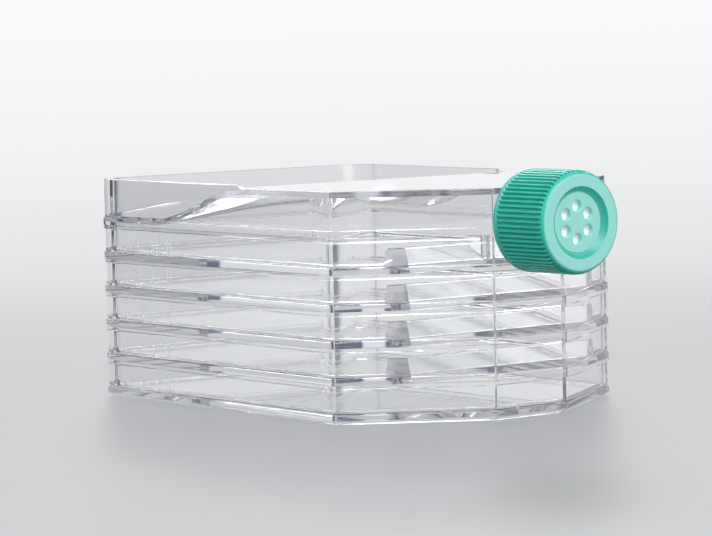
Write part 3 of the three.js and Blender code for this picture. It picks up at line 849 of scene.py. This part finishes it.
# ---------------------------------------------------------------- stage and light
# metres behind the object, and up
SWEEP_FRONT, SWEEP_FLAT, SWEEP_R, SWEEP_TOP, SWEEP_HALF = -4.0, 1.2, 1.5, 4.0, 4.0
SIDE_FADE = (0.75, 0.42)                     # pool of painted light: dark this far aside, pale within this
FRONT_FADE = (-0.95, -0.5)                   # pool of painted light: dark this far in front, pale from here on
DARK, BESIDE = (0.14, 0.145, 0.20), (0.58, 0.58, 0.62)       # painted dark far out, and a painted patch of light near the object on its right
PAPER = ((0.253, 0.255, 0.266), (0.263, 0.265, 0.276))
NEAREST, DEPTH = -0.25, 2.1
BACKDROP = ((-0.2, 0.59), (0.08, 0.66), (0.28, 0.715), (0.55, 0.77), (0.92, 0.82), (1.2, 0.835),
            (1.45, 0.88), (1.66, 0.92), (1.81, 0.955))       # painted light: brightness by metres behind the object


def colour_ramp(nt, src, stops):
    """Grey ramp, faintly blue, through stops of (position, brightness) in rising order."""
    cr = nt.nodes.new("ShaderNodeValToRGB")
    els = cr.color_ramp.elements
    for pos, _ in stops[1:-1]:
        els.new(pos)
    for e, (pos, v) in zip(els, stops):
        e.position = pos
        e.color = (v * 0.985, v * 0.99, v, 1)
    nt.links.new(src, cr.inputs["Fac"])
    return cr.outputs["Color"]


def span(nt, axis, lo, hi):
    """Soft step from 0 at lo to 1 at hi."""
    return ramp(nt, axis, 0, 1, lo, hi, "SMOOTHSTEP")


def stage_material():
    """Pale floor that runs up into a paper sweep, with painted light: bright behind the object, dark far
    to the sides.

    Its own brightness shows only to the camera and in reflections and refractions, and lights nothing
    else. Near the object the lamps light the paper instead, which keeps the shadow there; for the camera a
    share of that own brightness stays, painted light that makes the shadow lighter.
    """
    mat = bpy.data.materials.new("studio_sweep")
    nt, bsdf, out = principled(mat)
    place = separate(nt, "Object")
    aside = math_node(nt, "ABSOLUTE", place["X"])
    # painted pool of light: pale in the middle, dark to the sides and far in front
    pale = math_node(nt, "MULTIPLY", span(nt, aside, *SIDE_FADE), span(nt, place["Y"], *FRONT_FADE))
    paper = mix_colour(nt, ramp(nt, noise(nt, 3, 2), 0, 1), *PAPER)
    nt.links.new(mix_colour(nt, pale, DARK, paper), bsdf.inputs["Base Color"])
    bsdf.inputs["Roughness"].default_value = 0.42
    bsdf.inputs["Specular IOR Level"].default_value = 0.25
    run = ramp(nt, place["Y"], 0, 1, NEAREST, NEAREST + DEPTH)
    backdrop = colour_ramp(nt, run, [((y - NEAREST) / DEPTH, v) for y, v in BACKDROP])
    # painted patch of light on the floor to the object's right
    beside = math_node(nt, "MULTIPLY", span(nt, place["X"], 0.4, 0.6), span(nt, place["Y"], 0.25, 0.0))
    emit = nt.nodes.new("ShaderNodeEmission")
    surround = mix_colour(nt, beside, DARK, BESIDE)
    nt.links.new(mix_colour(nt, pale, surround, backdrop), emit.inputs["Color"])
    lp = nt.nodes.new("ShaderNodeLightPath")
    direct = lp.outputs["Is Camera Ray"]
    inside = math_node(nt, "ADD", lp.outputs["Is Glossy Ray"], lp.outputs["Is Transmission Ray"])
    parts = []
    # most is the share the lamps light near the object; where it is under 1, as for the camera, the rest
    # is painted light in the shadow
    for rays, far, near, most in ((direct, 0.75, -0.1, 0.7), (inside, 0.1, -0.25, 1.0)):
        share = math_node(nt, "MULTIPLY", pale, most)
        shadowed = math_node(nt, "MULTIPLY", share, span(nt, place["Y"], far, near))
        parts.append(math_node(nt, "MULTIPLY", rays, math_node(nt, "SUBTRACT", 1.0, shadowed)))
    fac = math_node(nt, "ADD", *parts)
    mix_shaders(nt, fac, bsdf.outputs["BSDF"], emit.outputs["Emission"], out)
    return mat


def studio_sweep():
    """Floor that curves up into a backdrop, square to the camera, a hair below the object."""
    steps = [(SWEEP_FRONT, 0.0), (-1.0, 0.0), (SWEEP_FLAT, 0.0)]
    for a in (math.radians(d) for d in range(4, 91, 4)):
        steps.append((SWEEP_FLAT + SWEEP_R * math.sin(a), SWEEP_R - SWEEP_R * math.cos(a)))
    steps += [(SWEEP_FLAT + SWEEP_R, SWEEP_TOP)]
    verts = [(x, y, z) for y, z in steps for x in (-SWEEP_HALF, SWEEP_HALF)]
    faces = [(2 * i, 2 * i + 1, 2 * i + 3, 2 * i + 2) for i in range(len(steps) - 1)]
    me = bpy.data.meshes.new("sweep")
    me.from_pydata(verts, [], faces)
    sweep = link("sweep", me)
    me.materials.append(stage_material())
    me.shade_smooth()
    sweep.rotation_euler = (0, 0, math.radians(90 - VIEW_HEADING))
    sweep.location = (0, 0, -0.0002)
    return sweep


studio_sweep()


def studio_world():
    """Grey surround of nearly even brightness, dimmest a little above eye level."""
    world = bpy.data.worlds.new("studio")
    world.use_nodes = True
    nt = world.node_tree
    height = ramp(nt, separate(nt, "Generated")["Z"], 0, 1, 0, 1)
    shade = colour_ramp(nt, height, [(0.08, 0.50), (0.25, 0.40), (0.5, 0.52), (1.0, 0.45)])
    nt.links.new(shade, nt.nodes["Background"].inputs["Color"])
    return world


bpy.context.scene.world = studio_world()


def softbox(name, loc, aim_z, size, power):
    """Rectangular lamp aimed at a point on the upright axis through the object."""
    la = bpy.data.lights.new(name, "AREA")
    la.shape = "RECTANGLE"
    la.size, la.size_y = size
    la.energy = power
    ob = link(name, la)
    ob.location = loc
    ob.rotation_mode = "QUATERNION"
    ob.rotation_quaternion = (Vector((0, 0, aim_z)) - Vector(loc)).to_track_quat("-Z", "Y")


softbox("top_softbox", (-0.75, 0.35, 1.15), 0.05, (1.5, 1.2), 4)
softbox("key_softbox", (1.35, -0.25, 1.15), 0.05, (1.0, 0.8), 19)
softbox("fill_softbox", (-0.3, -1.6, 1.0), 0.05, (1.2, 0.9), 11)
softbox("back_softbox", (-1.7, 1.32, 1.05), 0.08, (3.6, 1.7), 12)
softbox("strip_softbox", (-1.45, 1.12, 0.80), 0.08, (1.5, 0.18), 8)

scene = bpy.context.scene
scene.view_settings.view_transform = "Standard"
scene.cycles.max_bounces = 40
scene.cycles.transmission_bounces = 40
scene.cycles.transparent_max_bounces = 24
scene.cycles.glossy_bounces = 32
scene.cycles.diffuse_bounces = 3
